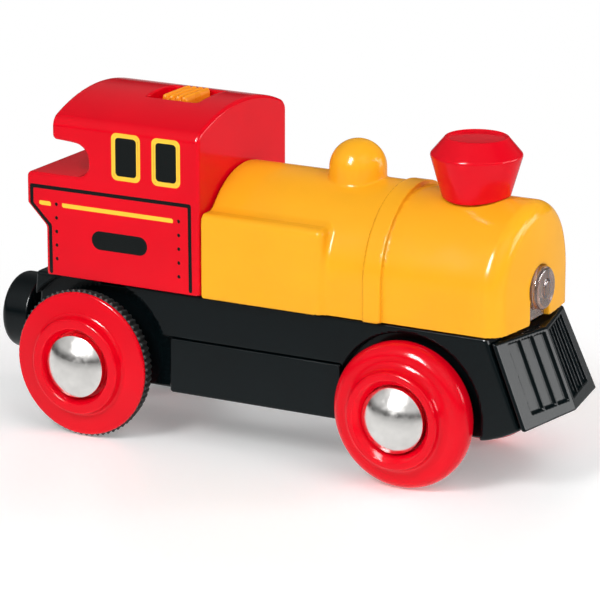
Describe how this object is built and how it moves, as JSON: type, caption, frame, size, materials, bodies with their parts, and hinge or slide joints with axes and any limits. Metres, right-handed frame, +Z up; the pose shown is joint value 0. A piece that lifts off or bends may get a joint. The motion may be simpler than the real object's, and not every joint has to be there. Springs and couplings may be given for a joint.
{
  "type": "toy train locomotive",
  "caption": "Battery driven toy steam engine with a cab, round boiler, funnel and plough, for grooved wooden track.",
  "frame": {"origin": "on the ground under the middle of the length, on the centre plane, halfway between the axles", "axes": "+X the way it drives, +Y its left side, +Z up"},
  "size_m": [0.097, 0.0378, 0.0519],
  "materials": {
    "red_plastic": "glossy moulded plastic",
    "yellow_plastic": "glossy moulded plastic",
    "black_plastic": "satin to glossy moulded plastic",
    "tyre_rubber": "matt ribbed rubber",
    "axle_steel": "drawn steel",
    "screw_steel": "zinc plated steel",
    "hub_nickel": "polished nickel plate with faint scuffs",
    "can_steel": "plated sheet steel",
    "contact_brass": "stamped sheet brass",
    "winding_copper": "enamelled copper wire over steel poles",
    "gear_plastic": "natural acetal plastic",
    "switch_plastic": "satin moulded plastic",
    "lens_clear": "clear moulded plastic with a warm tint",
    "led_clear": "cast epoxy",
    "board_green": "glass fibre board",
    "cell_wrap": "printed sleeve with no marks",
    "magnet_metal": "nickel plated magnet",
    "wire_red": "insulated wire",
    "wire_black": "insulated wire"
  },
  "bodies": {
    "chassis": {"cab_shell": "red_plastic", "chimney": "red_plastic", "boiler_shell": "yellow_plastic", "chassis_frame": "black_plastic", "battery_door": "black_plastic", "front_axle_cover": "black_plastic", "gearbox_inner_plate": "black_plastic", "gearbox_cover": "black_plastic", "cowcatcher": "black_plastic", "coupling_drum": "black_plastic", "lower_gear_shaft": "axle_steel", "upper_gear_shaft": "axle_steel", "coupling_rivet": "axle_steel", "contact_spring": "axle_steel", "battery_door_screw": "screw_steel", "front_axle_cover_screw": "screw_steel", "cab_screw_1": "screw_steel", "cab_screw_2": "screw_steel", "boiler_screw_1": "screw_steel", "boiler_screw_2": "screw_steel", "motor_can": "can_steel", "switch_body": "can_steel", "positive_contact": "contact_brass", "negative_contact": "contact_brass", "motor_end_cap": "gear_plastic", "headlight_lens": "lens_clear", "headlight_led": "led_clear", "circuit_board": "board_green", "battery_cell": "cell_wrap", "motor_magnet_upper": "magnet_metal", "motor_magnet_lower": "magnet_metal", "lamp_wire_a": "wire_red", "battery_wire_positive": "wire_red", "motor_wire_a": "wire_red", "lamp_wire_b": "wire_black", "battery_wire_negative": "wire_black", "motor_wire_b": "wire_black"},
    "rear_wheelset": {"rear_axle": "axle_steel", "rear_wheel_left": "red_plastic", "rear_wheel_right": "red_plastic", "rear_tyre_left": "tyre_rubber", "rear_tyre_right": "tyre_rubber", "rear_hub_cap_left": "hub_nickel", "rear_hub_cap_right": "hub_nickel", "axle_gear": "gear_plastic"},
    "front_wheelset": {"front_axle": "axle_steel", "front_wheel_left": "red_plastic", "front_wheel_right": "red_plastic", "front_hub_cap_left": "hub_nickel", "front_hub_cap_right": "hub_nickel"},
    "lower_gear": {"lower_compound_gear": "gear_plastic"},
    "upper_gear": {"upper_compound_gear": "gear_plastic"},
    "motor_rotor": {"motor_shaft": "axle_steel", "motor_pinion": "contact_brass", "motor_armature": "winding_copper"},
    "switch_slide": {"switch_button": "switch_plastic", "switch_slider": "red_plastic"},
    "magnet_disc": {"coupling_magnet": "magnet_metal"}
  },
  "joints": [
    {"name": "rear_axle_spin", "type": "hinge", "parent": "chassis", "child": "rear_wheelset", "pos_m": [-0.02685, 0, 0.0115], "axis": [0, 1, 0], "continuous": true},
    {"name": "front_axle_spin", "type": "hinge", "parent": "chassis", "child": "front_wheelset", "pos_m": [0.02685, 0, 0.01105], "axis": [0, 1, 0], "continuous": true},
    {"name": "lower_gear_spin", "type": "hinge", "parent": "chassis", "child": "lower_gear", "pos_m": [-0.02444, 0.0072, 0.01813], "axis": [0, 1, 0], "continuous": true},
    {"name": "upper_gear_spin", "type": "hinge", "parent": "chassis", "child": "upper_gear", "pos_m": [-0.02091, 0.0084, 0.02425], "axis": [0, 1, 0], "continuous": true},
    {"name": "motor_spin", "type": "hinge", "parent": "chassis", "child": "motor_rotor", "pos_m": [-0.01992, 0, 0.03124], "axis": [0, 1, 0], "continuous": true},
    {"name": "switch_slide", "type": "slide", "parent": "chassis", "child": "switch_slide", "axis": [1, 0, 0], "range_m": [-0.002, 0.002]},
    {"name": "coupling_magnet_spin", "type": "hinge", "parent": "chassis", "child": "magnet_disc", "pos_m": [-0.0456, 0, 0.0137], "axis": [1, 0, 0], "continuous": true}
  ],
  "couplings": [
    {"joint": "lower_gear_spin", "follows": "rear_axle_spin", "ratio": -2.5},
    {"joint": "upper_gear_spin", "follows": "rear_axle_spin", "ratio": 6.25},
    {"joint": "motor_spin", "follows": "rear_axle_spin", "ratio": -15.625}
  ]
}
